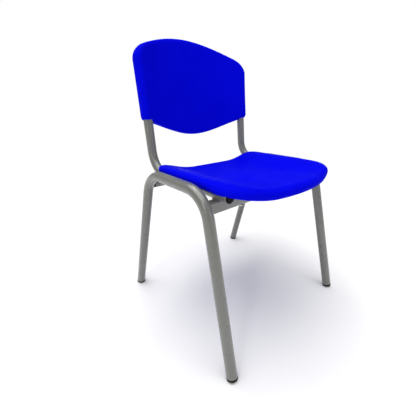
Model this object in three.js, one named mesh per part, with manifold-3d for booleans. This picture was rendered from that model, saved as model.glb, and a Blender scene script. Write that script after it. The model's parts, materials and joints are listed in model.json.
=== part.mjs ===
// Stacking school chair: two tube leg frames joined by two cross beams, two L-shaped back tubes
// standing on the beams, a dished plastic seat and a curved plastic back pushed onto the tubes.
// Millimetres, +Z up, the sitter faces -Y, the floor is z = 0 and X = 0 is the plane of symmetry.
import * as THREE from 'three';
import { mergeVertices } from 'three/addons/utils/BufferGeometryUtils.js';
import Module from 'manifold-3d';

const wasm = await Module();
wasm.setup();

// ---------- driving dimensions ----------
const gap = 0.3;                 // clearance left between pieces that touch
const cutReach = 60;             // how far a cutting tool runs past what it cuts

// Leg frames: the rail is the level top stretch, its ends are where it meets the leg axes.
const railHalfX = 238.5;
const railFrontY = -121;
const railRearY = 119.5;
const railFrontZ = 438.5;
const railRearStep = 2;          // how much higher the rail is at the rear
const legSplay = 16.5;           // sideways spread of a leg from rail to floor
const legRakeFront = 119;        // how far a foot stands ahead of or behind its rail end
const legRakeRear = 120.5;
const legBend = 78;              // bend radius on the tube axis
const legRadius = 14;
const legWall = 1.5;

// Back tubes: a leg under the seat, a bend, and an upright.
const seatSideGap = 4.5;         // between the seat's side and the leg frame's rail
const uprightInset = 21.5;       // tube axis inside the seat's side
const uprightBelowRail = 7.5;
const uprightBehindRail = 42;    // from the rear end of the rail to the corner
const uprightAhead = 36;         // how far the tube ends ahead of the front end of the rail
const uprightLength = 277;       // from the corner to the top end
const uprightBend = 68;
const uprightRadius = 13.4;
const uprightWall = 1.5;
const recline = Math.atan(0.112);

const seatOverhangFront = 108.4; // seat edges beyond the ends of the rail
const seatOverhangRear = 10.5;
const seatBowDepth = 53.5;       // how far the front edge runs back at the seat's sides
const seatFrontCorner = 57.5;
const seatRearCorner = 40;
const seatWall = 4.5;
const seatSideOverTube = 13.1;   // crest of the raised sides above the tube under it
const seatDishDepth = 29.5;      // lowest point below the crest
const seatLowFromRear = 90;      // lowest line of the dish ahead of the rear edge
const seatRearRise = 9.5;
const seatFrontRise = 18;
const seatFlatShare = 0.27;      // middle share of the half width that stays level across
const seatCrestInset = 13;
const seatSkirt = 19.7;          // crest to lower edge at the sides
const seatLipDrop = 17;          // how much lower the middle of the front edge hangs
const seatLipLength = 100;       // over which the front edge takes its own shape
const seatLipStartY = -60;
const seatLipSpan = [107, 253];  // from the middle: the front edge rises between these
const seatTailDrop = 16;         // the same at the rear edge
const seatTailLength = 60;
const seatTailStartY = 40;
const seatTailSpan = [60, 180];
const seatTuck = 3;
const seatSideRoll = [12, 12];   // rolled edge, width and height
const seatLipRoll = [21.7, 18.8];
const seatTailRoll = [8, 8];

const sleeveSide = 16.4;         // back tube axis to the side of the back
const backTop = 389.5;           // top middle, measured from the tube corner along the back tubes
const backCornerFall = 53.4;     // from the top middle to the top edge over a back tube
const backTopShape = [1.12, -0.12];
const backBottom = 102.2;
const backBottomRise = 45.6;     // from the bottom middle to the bottom edge at the side
const backBottomShape = [1.72, -0.72];
const backTopCorner = 27;
const backBottomCorner = 11;
const backHollow = 33.2;         // middle of the back behind the tube axis
const backWingReach = 60;        // sides of the back ahead of its middle
const backWall = 4;
const backRimMiddle = 45.2;      // rear rim behind the tube axis, in the middle and at the sides
const backRimSide = 12;
const backTuck = 1;
const backRimRoll = [14, 10];
const backSideRoll = [17, 22];
const backRollFrom = 0.78;       // shares of the half width between which the one becomes the other
const backRollTo = 0.98;
const sleeveWall = 2;
const sleeveEnd = 6;             // solid end above the tube
const sleeveFoot = 2;            // sleeve starts above the corner of the bottom edge

const frontBeamHeight = 36;
const rearBeamHeight = 20;
const beamDepth = 18;
const beamWall = 1.5;
const frontBeamInside = 8;       // beam axis inside the end of the rail
const rearBeamInside = 3.5;
const beamFlat = 1;              // flat left between the rounded edges of a beam
const beamBite = 4.5;            // how far a beam end reaches past the face of the leg tube

const glideFlangeOver = 0.3;     // flange radius beyond the leg tube
const glideFlange = 5;
const glideBall = 30;            // radius of the domed underside
const glideFlat = 0.4;           // flat at the bottom of the dome
const glideStem = 18;
const stemChamfer = 1.5;

const plugHead = 3;
const plugRim = 0.6;             // straight rim under the rounded head
const plugStem = 16;

const seatScrewInset = 110;      // from the side of the seat
const rearScrewAhead = 3;        // rear screws ahead of their beam's axis
const bossRadius = 6.5;
const screwRadius = 2.4;
const screwGrip = 10;            // length of thread inside the boss
const screwHeadRadius = 5;
const screwHeadHeight = 3.4;
const screwHeadRim = 0.7;
const screwTip = 2;              // length of the pointed end
const screwTipRadius = 1;
const screwTipRoom = 1;          // free depth beyond the tip
const washerRadius = 6.5;
const washerHeight = 1.2;
const saddleThick = 5;
const saddleSide = 2.1;          // saddle beyond the tube on each side
const saddleDepth = 7;           // how far a saddle reaches down beside the tube
const saddleFromBeam = 50;
const backScrewAt = 215;         // along the back tube, from the corner
const backScrewLength = 12;

// How finely round shapes are divided.
const legSides = 16;
const legBendSteps = 7;
const uprightSides = 18;
const uprightBendSteps = 8;
const shellSpokes = 48;
const shellShares = [0.3, 0.54, 0.74, 0.9];
const rollAngles = [90, 60, 30, 0];
const sleeveSides = 24;
const smallSides = 16;
const screwSides = 12;
const domeSteps = 4;
const beamCornerSteps = 5;
const outlineHalvings = 40;
const outlineReach = 400;        // beyond any outline

// ---------- sizes that follow ----------
const deg = Math.PI / 180;
const railRearZ = railFrontZ + railRearStep;
const footHalfX = railHalfX + legSplay;
const footFrontY = railFrontY - legRakeFront;
const footRearY = railRearY + legRakeRear;
const seatHalf = railHalfX - legRadius - seatSideGap;
const seatFrontY = railFrontY - seatOverhangFront;
const seatRearY = railRearY + seatOverhangRear;
const seatLowY = seatRearY - seatLowFromRear;
const seatScrewX = seatHalf - seatScrewInset;
const uprightX = seatHalf - uprightInset;
const uprightZ = railFrontZ - uprightBelowRail;
const uprightCornerY = railRearY + uprightBehindRail;
const uprightFrontY = railFrontY - uprightAhead;
const seatSideTop = uprightZ + uprightRadius + seatSideOverTube;
const seatLow = seatSideTop - seatDishDepth;
const seatHem = seatSideTop - seatSkirt;
const seatCrestHalf = seatHalf - seatCrestInset;
const seatFlatHalf = seatHalf * seatFlatShare;
const backHalf = uprightX + sleeveSide;
const screwHole = screwRadius + gap;
const beamTopZ = uprightZ - uprightRadius - gap;
const beamFrontY = railFrontY + frontBeamInside;
const beamRearY = railRearY - rearBeamInside;
const saddleYs = [beamFrontY + saddleFromBeam, beamRearY - saddleFromBeam];
const sleeveRadius = uprightRadius + gap + sleeveWall;
const glideRim = legRadius + glideFlangeOver;

// ---------- materials ----------
const bluePlastic = { color: 0x0a0ee0, roughness: 0.38, metalness: 0 };
const greyPaint = { color: 0x8a8c86, roughness: 0.35, metalness: 0.25 };
const blackPlastic = { color: 0x141414, roughness: 0.55, metalness: 0 };
const zincSteel = { color: 0xb9bab6, roughness: 0.3, metalness: 0.9 };

// ---------- helpers ----------
const v3 = (x, y, z) => new THREE.Vector3(x, y, z);
const clamp01 = (t) => Math.min(1, Math.max(0, t));
const mix = (a, b, t) => a + (b - a) * t;
const smooth = (t) => t * t * (3 - 2 * t);
const ramp = (t, from, to) => smooth(clamp01((t - from) / (to - from)));
const evenCurve = (t, [square, fourth]) => square * t ** 2 + fourth * t ** 4;
const byHand = [['left', 1], ['right', -1]];

// Radius of a many-sided hole whose flats stay clear of a round piece inside it.
const clearOf = (radius, sides) => (radius + gap) / Math.cos(Math.PI / sides);

function weld(geometry) {
  geometry.deleteAttribute('normal');
  geometry.deleteAttribute('uv');
  return mergeVertices(geometry, 1e-4);
}

function solid(geometry) {
  const g = weld(geometry);
  const triVerts = Uint32Array.from(g.index.array);
  const vertProperties = Float32Array.from(g.attributes.position.array);
  return new wasm.Manifold(new wasm.Mesh({ numProp: 3, vertProperties, triVerts }));
}

function geometryOf(body) {
  const m = body.getMesh();
  const g = new THREE.BufferGeometry();
  g.setAttribute('position', new THREE.BufferAttribute(Float32Array.from(m.vertProperties), 3));
  g.setIndex(new THREE.BufferAttribute(Uint32Array.from(m.triVerts), 1));
  return g;
}

// A path whose stations are given one by one, for ExtrudeGeometry.
class Stations extends THREE.Curve {
  constructor(points) {
    super();
    this.points = points;
  }
  getPointAt(u) {
    return this.points[Math.round(u * (this.points.length - 1))].clone();
  }
  getTangentAt(u) {
    const i = Math.round(u * (this.points.length - 1));
    const before = this.points[Math.max(0, i - 1)];
    const after = this.points[Math.min(this.points.length - 1, i + 1)];
    const here = this.points[i];
    const into = here.clone().sub(before).normalize();
    const out = after.clone().sub(here).normalize();
    return into.add(out).normalize();
  }
}

// Straight stretches between corners, with each inner corner rounded to one bend radius.
function bentPath(corners, radius, steps) {
  const points = [corners[0]];
  for (let i = 1; i < corners.length - 1; i++) {
    const back = corners[i - 1].clone().sub(corners[i]).normalize();
    const on = corners[i + 1].clone().sub(corners[i]).normalize();
    const half = back.angleTo(on) / 2;
    const middle = back.clone().add(on).normalize();
    const centre = corners[i].clone().addScaledVector(middle, radius / Math.sin(half));
    const from = corners[i].clone().addScaledVector(back, radius / Math.tan(half)).sub(centre);
    const to = corners[i].clone().addScaledVector(on, radius / Math.tan(half)).sub(centre);
    const turn = from.angleTo(to);
    for (let k = 0; k <= steps; k++) {
      const near = Math.sin(turn * (1 - k / steps)) / Math.sin(turn);
      const far = Math.sin(turn * k / steps) / Math.sin(turn);
      points.push(centre.clone().addScaledVector(from, near).addScaledVector(to, far));
    }
  }
  points.push(corners[corners.length - 1]);
  return points;
}

function ringShape(outer, inner, sides) {
  const shape = new THREE.Shape();
  const hole = new THREE.Path();
  for (let i = 0; i < sides; i++) {
    const a = (i / sides) * 2 * Math.PI;
    const put = i === 0 ? 'moveTo' : 'lineTo';
    shape[put](outer * Math.cos(a), outer * Math.sin(a));
    hole[put](inner * Math.cos(a), inner * Math.sin(a));
  }
  shape.closePath();
  hole.closePath();
  if (inner > 0) shape.holes.push(hole);
  return shape;
}

function tube(points, outer, inner, sides) {
  const steps = points.length - 1;
  const options = { steps, bevelEnabled: false, extrudePath: new Stations(points) };
  return new THREE.ExtrudeGeometry(ringShape(outer, inner, sides), options);
}

// A turned piece about +Z from [radius, height] pairs that start and end on the axis.
function turned(profile, sides) {
  const points = profile.map(([r, z]) => new THREE.Vector2(r, z));
  return new THREE.LatheGeometry(points, sides).rotateX(Math.PI / 2);
}

// The rounded end of a turned piece, from its rim to its middle.
function dome(radius, rim, height) {
  const points = [];
  for (let i = 0; i <= domeSteps; i++) {
    const a = (i / domeSteps) * 90 * deg;
    points.push([radius * Math.cos(a), mix(rim, height, Math.sin(a))]);
  }
  points[domeSteps][0] = 0;
  return points;
}

function rod(radius, from, to, sides) {
  const length = from.distanceTo(to);
  const g = new THREE.CylinderGeometry(radius, radius, length, sides);
  g.translate(0, length / 2, 0);
  const along = to.clone().sub(from).normalize();
  g.applyQuaternion(new THREE.Quaternion().setFromUnitVectors(v3(0, 1, 0), along));
  return g.translate(from.x, from.y, from.z);
}

// Places a piece made about +Z so that its axis runs along a direction.
function alongAxis(geometry, origin, axis) {
  geometry.applyQuaternion(new THREE.Quaternion().setFromUnitVectors(v3(0, 0, 1), axis));
  return geometry.translate(origin.x, origin.y, origin.z);
}

const chair = new THREE.Group();

function addNode(name, geometry, look) {
  const mesh = new THREE.Mesh(geometry, new THREE.MeshStandardMaterial(look));
  mesh.name = name;
  chair.add(mesh);
}

// ---------- leg frames ----------
const leanX = (z) => mix(footHalfX, railHalfX, z / railFrontZ);

function legCorners(side) {
  const at = (y, z) => v3(side * leanX(z), y, z);
  return [at(footFrontY, 0), at(railFrontY, railFrontZ), at(railRearY, railRearZ), at(footRearY, 0)];
}

// The leg's direction, and where the glide's dome, rim and tube end lie along it.
function footFrame(floorPoint, corner) {
  const axis = corner.clone().sub(floorPoint).normalize();
  const ballAt = (glideBall - glideFlat) / axis.z;
  const rimAt = ballAt - Math.sqrt(glideBall ** 2 - glideRim ** 2);
  const tubeAt = rimAt + glideFlange + gap;
  return { axis, ballAt, rimAt, tubeAt };
}

function legPath(side) {
  const corners = legCorners(side);
  const front = footFrame(corners[0], corners[1]);
  const rear = footFrame(corners[3], corners[2]);
  corners[0].addScaledVector(front.axis, front.tubeAt);
  corners[3].addScaledVector(rear.axis, rear.tubeAt);
  return bentPath(corners, legBend, legBendSteps);
}

const legFrame = (side) => tube(legPath(side), legRadius, legRadius - legWall, legSides);
const legRoom = (side) => solid(tube(legPath(side), legRadius + gap, 0, legSides));

// ---------- foot glides ----------
function footGlide(floorPoint, corner) {
  const { axis, ballAt, rimAt } = footFrame(floorPoint, corner);
  const stemRadius = legRadius - legWall - gap;
  const profile = [[0, ballAt - glideBall]];
  const capAngle = Math.asin(glideRim / glideBall);
  for (let i = 1; i <= domeSteps; i++) {
    const a = capAngle * (i / domeSteps);
    profile.push([glideBall * Math.sin(a), ballAt - glideBall * Math.cos(a)]);
  }
  const flangeTop = rimAt + glideFlange;
  profile.push([glideRim, flangeTop], [stemRadius, flangeTop]);
  profile.push([stemRadius, flangeTop + glideStem - stemChamfer]);
  profile.push([stemRadius - stemChamfer, flangeTop + glideStem], [0, flangeTop + glideStem]);
  const body = solid(alongAxis(turned(profile, legSides), floorPoint, axis));
  const floor = new THREE.BoxGeometry(cutReach, cutReach, cutReach);
  floor.translate(floorPoint.x, floorPoint.y, -cutReach / 2);
  return geometryOf(body.subtract(solid(floor)));
}

// ---------- back tubes ----------
const backAxis = v3(0, Math.sin(recline), Math.cos(recline));
const backFront = v3(0, -Math.cos(recline), Math.sin(recline));
const tubeCorner = v3(0, uprightCornerY, uprightZ);

// A point in the back's own frame: across, along the back tubes, and towards the sitter.
function backPoint(a, b, h) {
  return v3(a, 0, 0).add(tubeCorner).addScaledVector(backAxis, b).addScaledVector(backFront, h);
}

function uprightPath(side) {
  const x = side * uprightX;
  const corners = [v3(x, uprightFrontY, uprightZ), v3(x, uprightCornerY, uprightZ)];
  corners.push(backPoint(x, uprightLength, 0));
  return bentPath(corners, uprightBend, uprightBendSteps);
}

function backScrewHole(side) {
  const x = side * uprightX;
  const out = backPoint(x, backScrewAt, -cutReach);
  return solid(rod(screwHole, backPoint(x, backScrewAt, 0), out, screwSides));
}

function backUpright(side) {
  const inner = uprightRadius - uprightWall;
  const body = solid(tube(uprightPath(side), uprightRadius, inner, uprightSides));
  return geometryOf(body.subtract(backScrewHole(side)));
}

// The space that the tube and its front plug take up, with clearance all round.
function uprightRoom(side) {
  const path = uprightPath(side);
  path[0].y -= plugHead + 2 * gap;
  return solid(tube(path, uprightRadius + gap, 0, uprightSides));
}

function uprightPlug(side) {
  const stemRadius = uprightRadius - uprightWall - gap;
  const profile = [[0, -plugStem], [stemRadius - stemChamfer, -plugStem]];
  profile.push([stemRadius, stemChamfer - plugStem], [stemRadius, gap]);
  profile.push([uprightRadius, gap], ...dome(uprightRadius, gap + plugRim, gap + plugHead));
  const origin = v3(side * uprightX, uprightFrontY, uprightZ);
  return alongAxis(turned(profile, smallSides), origin, v3(0, -1, 0));
}

// ---------- cross beams ----------
function roundedBox(halfY, halfZ, corner) {
  const shape = new THREE.Shape();
  const centres = [[1, 1], [-1, 1], [-1, -1], [1, -1]];
  centres.forEach(([sy, sz], quarter) => {
    for (let k = 0; k <= beamCornerSteps; k++) {
      const a = (quarter + k / beamCornerSteps) * 90 * deg;
      const y = sy * (halfY - corner) + corner * Math.cos(a);
      const z = sz * (halfZ - corner) + corner * Math.sin(a);
      if (quarter === 0 && k === 0) shape.moveTo(y, z);
      else shape.lineTo(y, z);
    }
  });
  shape.closePath();
  return shape;
}

function crossBeam(y, height, screwY) {
  const length = 2 * (railHalfX - legRadius + beamBite);
  const corner = (Math.min(beamDepth, height) - beamFlat) / 2;
  const outline = roundedBox(beamDepth / 2, height / 2, corner);
  const inside = roundedBox(beamDepth / 2 - beamWall, height / 2 - beamWall, corner - beamWall);
  outline.holes.push(new THREE.Path(inside.getPoints()));
  const g = new THREE.ExtrudeGeometry(outline, { depth: length, bevelEnabled: false });
  g.translate(0, 0, -length / 2);
  g.rotateX(90 * deg).rotateZ(90 * deg);
  g.translate(0, y, beamTopZ - height / 2);
  let body = solid(g);
  for (const side of [-1, 1]) {
    const x = side * seatScrewX;
    const from = v3(x, screwY, uprightZ - cutReach);
    const hole = rod(screwHole, from, v3(x, screwY, uprightZ), screwSides);
    body = body.subtract(solid(hole)).subtract(legRoom(side));
  }
  return geometryOf(body);
}

// ---------- moulded shells ----------
// A dished shell over an outline: face, rolled edge, skirt down to the hem, and the same inside.
function mouldedShell(spec) {
  const { centre, excess, face, hem, roll, wall, tuck, place } = spec;
  const segments = shellSpokes;
  const spokes = [];
  for (let i = 0; i < segments; i++) {
    const turn = (i + 0.5) / segments * 2 * Math.PI;
    const ca = Math.cos(turn);
    const cb = Math.sin(turn);
    let near = 0;
    let far = outlineReach;
    for (let k = 0; k < outlineHalvings; k++) {
      const middle = (near + far) / 2;
      if (excess(centre[0] + ca * middle, centre[1] + cb * middle) < 0) near = middle;
      else far = middle;
    }
    const edge = [centre[0] + ca * near, centre[1] + cb * near];
    spokes.push({ ca, cb, reach: near, edge, roll: roll(...edge) });
  }
  const at = (s, inset) => {
    const r = s.reach - inset;
    return [centre[0] + s.ca * r, centre[1] + s.cb * r];
  };
  const drop = (inset, [wide, high], skin) => {
    const t = clamp01(1 - (inset - skin) / (wide - skin));
    return (high - skin) * (1 - Math.sqrt(1 - t * t));
  };
  const onSkin = (s, inset, skin) => {
    const [a, b] = at(s, inset);
    return place(a, b, face(a, b) - skin - drop(inset, s.roll, skin));
  };
  const onHem = (s, inset) => {
    const [a, b] = at(s, inset);
    return place(a, b, hem(...s.edge));
  };
  const rings = [];
  const skinRings = (skin) => {
    const inside = (s, share) => s.reach - share * (s.reach - s.roll[0]);
    const list = shellShares.map((f) => spokes.map((s) => onSkin(s, inside(s, f), skin)));
    for (const angle of rollAngles) {
      const out = (s) => skin + (s.roll[0] - skin) * (1 - Math.cos(angle * deg));
      list.push(spokes.map((s) => onSkin(s, out(s), skin)));
    }
    return list;
  };
  rings.push(...skinRings(0));
  rings.push(spokes.map((s) => onHem(s, tuck)));
  rings.push(spokes.map((s) => onHem(s, tuck + wall)));
  rings.push(...skinRings(wall).reverse());
  const points = [place(...centre, face(...centre)), ...rings.flat()];
  points.push(place(...centre, face(...centre) - wall));
  const index = [];
  const node = (ring, i) => 1 + ring * segments + (i % segments);
  const last = points.length - 1;
  for (let i = 0; i < segments; i++) {
    index.push(0, node(0, i), node(0, i + 1));
    for (let r = 0; r < rings.length - 1; r++) {
      index.push(node(r, i), node(r + 1, i), node(r + 1, i + 1));
      index.push(node(r, i), node(r + 1, i + 1), node(r, i + 1));
    }
    index.push(last, node(rings.length - 1, i + 1), node(rings.length - 1, i));
  }
  const g = new THREE.BufferGeometry();
  g.setAttribute('position', new THREE.Float32BufferAttribute(points.flatMap((p) => p.toArray()), 3));
  g.setIndex(index);
  return g;
}

// How far a point lies outside two edges that meet at a rounded corner.
function cornerExcess(pastSide, pastEnd, radius) {
  const a = pastSide + radius;
  const b = pastEnd + radius;
  if (a > 0 && b > 0) return Math.hypot(a, b) - radius;
  return Math.max(a, b) - radius;
}

// ---------- seat ----------
function seatMiddleZ(y) {
  if (y > seatLowY) return seatLow + seatRearRise * ((y - seatLowY) / (seatRearY - seatLowY)) ** 2;
  return seatLow + seatFrontRise * ((seatLowY - y) / (seatLowY - seatFrontY)) ** 2;
}

function seatFace(x, y) {
  const t = clamp01((Math.abs(x) - seatFlatHalf) / (seatCrestHalf - seatFlatHalf));
  return mix(seatMiddleZ(y), seatSideTop, Math.sin(t * 90 * deg) ** 3);
}

function seatExcess(x, y) {
  const pastSide = Math.abs(x) - seatHalf;
  const frontEdge = seatFrontY + seatBowDepth * (x / seatHalf) ** 2;
  const front = cornerExcess(pastSide, frontEdge - y, seatFrontCorner);
  const rear = cornerExcess(pastSide, y - seatRearY, seatRearCorner);
  return Math.max(front, rear);
}

const lipShare = (y) => ramp(-y, -seatLipStartY, seatLipLength - seatLipStartY);
const tailShare = (y) => ramp(y, seatTailStartY, seatTailStartY + seatTailLength);

// Between the side's own value and the values it takes along the front and rear edges.
function alongSeatEdge(y, side, lip, tail) {
  return mix(mix(side, lip, lipShare(y)), tail, tailShare(y));
}

function seatRoll(x, y) {
  return [0, 1].map((i) => alongSeatEdge(y, seatSideRoll[i], seatLipRoll[i], seatTailRoll[i]));
}

function seatHemZ(x, y) {
  const lipDrop = seatLipDrop * (1 - ramp(Math.abs(x), ...seatLipSpan));
  const tailDrop = seatTailDrop * (1 - ramp(Math.abs(x), ...seatTailSpan));
  return seatHem - alongSeatEdge(y, 0, lipDrop, tailDrop);
}

function seatScrewSpots() {
  const spots = [];
  for (const [end, y] of [['front', beamFrontY], ['rear', beamRearY - rearScrewAhead]]) {
    for (const [hand, side] of byHand) {
      spots.push({ name: `${end}_${hand}`, end, x: side * seatScrewX, y });
    }
  }
  return spots;
}

function seatShell() {
  const spec = {
    centre: [0, (seatFrontY + seatRearY) / 2],
    excess: seatExcess,
    face: seatFace,
    hem: seatHemZ,
    roll: seatRoll,
    wall: seatWall,
    tuck: seatTuck,
    place: v3,
  };
  let body = solid(mouldedShell(spec));
  for (const { x, y } of seatScrewSpots()) {
    const foot = beamTopZ + gap;
    const root = seatFace(x, y) - seatWall / 2;
    body = body.add(solid(rod(bossRadius, v3(x, y, foot), v3(x, y, root), smallSides)));
    const deep = foot + screwGrip + screwTipRoom;
    const hole = rod(screwHole, v3(x, y, foot - screwGrip), v3(x, y, deep), screwSides);
    body = body.subtract(solid(hole));
  }
  for (const side of [-1, 1]) {
    for (const y of saddleYs) {
      const saddleHalf = uprightRadius + saddleSide;
      const top = seatFace(uprightX - saddleHalf, y) - seatWall / 2;
      const low = uprightZ + uprightRadius - saddleDepth;
      const block = new THREE.BoxGeometry(2 * saddleHalf, saddleThick, top - low);
      block.translate(side * uprightX, y, (top + low) / 2);
      body = body.add(solid(block));
    }
    body = body.subtract(uprightRoom(side));
  }
  return geometryOf(body);
}

// ---------- back ----------
function backExcess(a, b) {
  const u = a / uprightX;
  const w = a / backHalf;
  const top = backTop - backCornerFall * evenCurve(u, backTopShape);
  const bottom = backBottom + backBottomRise * evenCurve(w, backBottomShape);
  const pastSide = Math.abs(a) - backHalf;
  const upper = cornerExcess(pastSide, b - top, backTopCorner);
  const lower = cornerExcess(pastSide, bottom - b, backBottomCorner);
  return Math.max(upper, lower);
}

const backFace = (a) => backWingReach * (a / backHalf) ** 2 - backHollow;
const backHem = (a) => -mix(backRimMiddle, backRimSide, (a / backHalf) ** 2);

function backRoll(a) {
  const t = ramp(Math.abs(a) / backHalf, backRollFrom, backRollTo);
  return [0, 1].map((i) => mix(backRimRoll[i], backSideRoll[i], t));
}

function backShell() {
  const spec = {
    centre: [0, (backTop + backBottom) / 2],
    excess: backExcess,
    face: backFace,
    hem: backHem,
    roll: backRoll,
    wall: backWall,
    tuck: backTuck,
    place: backPoint,
  };
  let body = solid(mouldedShell(spec));
  const foot = backBottom + backBottomRise + sleeveFoot;
  const end = uprightLength + gap;
  const boreRadius = clearOf(uprightRadius, sleeveSides);
  for (const side of [-1, 1]) {
    const x = side * uprightX;
    const crown = backPoint(x, end + sleeveEnd, 0);
    body = body.add(solid(rod(sleeveRadius, backPoint(x, foot, 0), crown, sleeveSides)));
    const from = backPoint(x, foot - cutReach, 0);
    const bore = rod(boreRadius, from, backPoint(x, end, 0), sleeveSides);
    body = body.subtract(solid(bore)).subtract(backScrewHole(side));
  }
  return geometryOf(body);
}

// ---------- fasteners ----------
// A pan-head screw: head below the origin, shank upwards.
function screw(length) {
  const head = dome(screwHeadRadius, -screwHeadRim, -screwHeadHeight);
  const profile = [...head.reverse(), [screwHeadRadius, 0], [screwRadius, 0]];
  profile.push([screwRadius, length - screwTip], [screwTipRadius, length], [0, length]);
  return turned(profile, screwSides);
}

function washer() {
  const profile = [[screwHole, 0], [washerRadius, 0], [washerRadius, washerHeight]];
  profile.push([screwHole, washerHeight], [screwHole, 0]);
  return turned(profile, screwSides);
}

function seatFixings() {
  for (const { name, end, x, y } of seatScrewSpots()) {
    const height = end === 'front' ? frontBeamHeight : rearBeamHeight;
    const washerZ = beamTopZ - height - gap - washerHeight;
    const headZ = washerZ - gap;
    addNode(`seat_washer_${name}`, washer().translate(x, y, washerZ), zincSteel);
    const length = beamTopZ + gap + screwGrip - headZ;
    addNode(`seat_screw_${name}`, screw(length).translate(x, y, headZ), zincSteel);
  }
}

function backScrew(side) {
  const head = backPoint(side * uprightX, backScrewAt, -sleeveRadius - gap);
  return alongAxis(screw(backScrewLength), head, backFront);
}

// ---------- assembly ----------
addNode('seat_shell', seatShell(), bluePlastic);
addNode('back_shell', backShell(), bluePlastic);
addNode('front_cross_beam', crossBeam(beamFrontY, frontBeamHeight, beamFrontY), greyPaint);
addNode('rear_cross_beam', crossBeam(beamRearY, rearBeamHeight, beamRearY - rearScrewAhead), greyPaint);
for (const [hand, side] of byHand) {
  addNode(`leg_frame_${hand}`, legFrame(side), greyPaint);
  addNode(`back_upright_${hand}`, backUpright(side), greyPaint);
  addNode(`upright_plug_${hand}`, uprightPlug(side), blackPlastic);
  addNode(`back_screw_${hand}`, backScrew(side), zincSteel);
  const corners = legCorners(side);
  addNode(`foot_glide_front_${hand}`, footGlide(corners[0], corners[1]), blackPlastic);
  addNode(`foot_glide_rear_${hand}`, footGlide(corners[3], corners[2]), blackPlastic);
}
seatFixings();

export default chair;
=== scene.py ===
"""Looks of a stacking school chair: dished plastic seat and curved plastic back on grey steel tubes.

Lengths are in millimetres up to the point where a mesh is made, and in metres from there on.
"""

import json
import math

import bmesh
import bpy
import numpy as np
from mathutils import Matrix, Vector


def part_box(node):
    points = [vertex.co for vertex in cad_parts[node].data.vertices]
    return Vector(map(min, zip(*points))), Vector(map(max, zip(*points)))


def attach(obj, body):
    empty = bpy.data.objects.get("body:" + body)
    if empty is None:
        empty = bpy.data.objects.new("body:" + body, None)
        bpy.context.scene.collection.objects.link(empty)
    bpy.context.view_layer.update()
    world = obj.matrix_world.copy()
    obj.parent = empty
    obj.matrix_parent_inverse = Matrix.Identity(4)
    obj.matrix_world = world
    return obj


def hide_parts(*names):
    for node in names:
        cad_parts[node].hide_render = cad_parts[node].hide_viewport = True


MM = 0.001
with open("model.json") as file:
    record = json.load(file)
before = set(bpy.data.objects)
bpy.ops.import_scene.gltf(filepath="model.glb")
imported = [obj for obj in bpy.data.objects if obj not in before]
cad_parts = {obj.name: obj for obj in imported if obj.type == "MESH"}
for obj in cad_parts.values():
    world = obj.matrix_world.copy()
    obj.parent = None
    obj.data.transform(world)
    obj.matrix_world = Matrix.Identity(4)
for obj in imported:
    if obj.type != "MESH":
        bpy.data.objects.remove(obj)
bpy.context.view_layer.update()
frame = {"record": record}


# ---------- sizes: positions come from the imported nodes, shapes from the named values ----------
def box_mm(node):
    low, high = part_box(node)
    return np.array(low) / MM, np.array(high) / MM


def middle(node):
    low, high = box_mm(node)
    return (low + high) / 2


LEG_RADIUS = 14.0
LEG_WALL = 1.5
LEG_BEND = 78.0
RAIL_STEP = 2.0            # the rail is higher at its rear end
UPRIGHT_RADIUS = 13.4
UPRIGHT_WALL = 1.5
UPRIGHT_BEND = 68.0
RECLINE = math.atan(0.112)
GLIDE_BALL = 30.0
GLIDE_FLAT = 0.4
GLIDE_FLANGE = 5.0
GLIDE_RIM = LEG_RADIUS + 0.3
FRONT_BEAM_INSIDE = 8.0    # beam axis inside the end of the rail
REAR_BEAM_INSIDE = 3.5
BEAM_WALL = 1.5
BEAM_FLAT = 1.0
SEAT_WALL = 4.5
SEAT_SKIRT = 20.5          # crest to lower edge at the sides
SEAT_LIP_DROP = 17.0       # how much lower the middle of the front edge hangs
SEAT_LIP_SPAN = (107.0, 253.0)
SEAT_TAIL_DROP = 16.0
SEAT_TAIL_SPAN = (60.0, 180.0)
SEAT_TAIL_START = 40.0
SEAT_TAIL_LENGTH = 60.0
SEAT_DISH = 29.5
SEAT_BOW = 50.0            # this and the corner make the front a little fuller than the node's
SEAT_FRONT_CORNER = 50.0
SEAT_REAR_CORNER = 40.0
SEAT_LOW_FROM_REAR = 90.0
SEAT_REAR_RISE = 9.5
SEAT_FRONT_RISE = 18.0
SEAT_FLAT_SHARE = 0.27
SEAT_CREST_INSET = 13.0
SEAT_LIP_START = -60.0
SEAT_LIP_LENGTH = 100.0
SEAT_TUCK = 3.0
SEAT_SIDE_ROLL = (12.0, 12.0)
SEAT_LIP_ROLL = (21.7, 18.8)
SEAT_TAIL_ROLL = (8.0, 8.0)
BACK_WALL = 4.0
BACK_CORNER_FALL = 53.4
BACK_TOP_SHAPE = (1.12, -0.12)
BACK_BOTTOM = 102.2
BACK_BOTTOM_RISE = 45.6
BACK_BOTTOM_SHAPE = (1.72, -0.72)
BACK_TOP_CORNER = 27.0
BACK_BOTTOM_CORNER = 11.0
BACK_HOLLOW = 33.2
BACK_WING_REACH = 60.0
BACK_RIM_MIDDLE = 45.2
BACK_RIM_SIDE = 12.0
BACK_TUCK = 1.0
BACK_RIM_ROLL = (14.0, 10.0)
BACK_SIDE_ROLL = (17.0, 22.0)
BACK_ROLL_FROM = 0.78
BACK_ROLL_TO = 0.98
SLEEVE_WALL = 2.0
SLEEVE_END = 6.0
GAP = 0.3
BEAD = 2.1                 # weld radius where a beam meets a leg frame
TUBE_BEAD = 1.7            # the same where a back tube lies on a beam
TUBE_BEAD_ASIDE = 6.2      # from the middle of the tube
TUBE_BEAD_ABOVE = 1.1
TUBE_BEAD_HALF = 7.5
STEM_GAP = 0.1
GLIDE_STEM = 18.0
PLUG_STEM = 16.0
STEM_LEAD = 1.5            # the stems narrow by this much at their ends
PLUG_RIM = 0.8
PLUG_DOME = 3.2
SADDLE_SIDE = 2.1          # plastic beside the tube
SADDLE_THICK = 5.0
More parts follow.
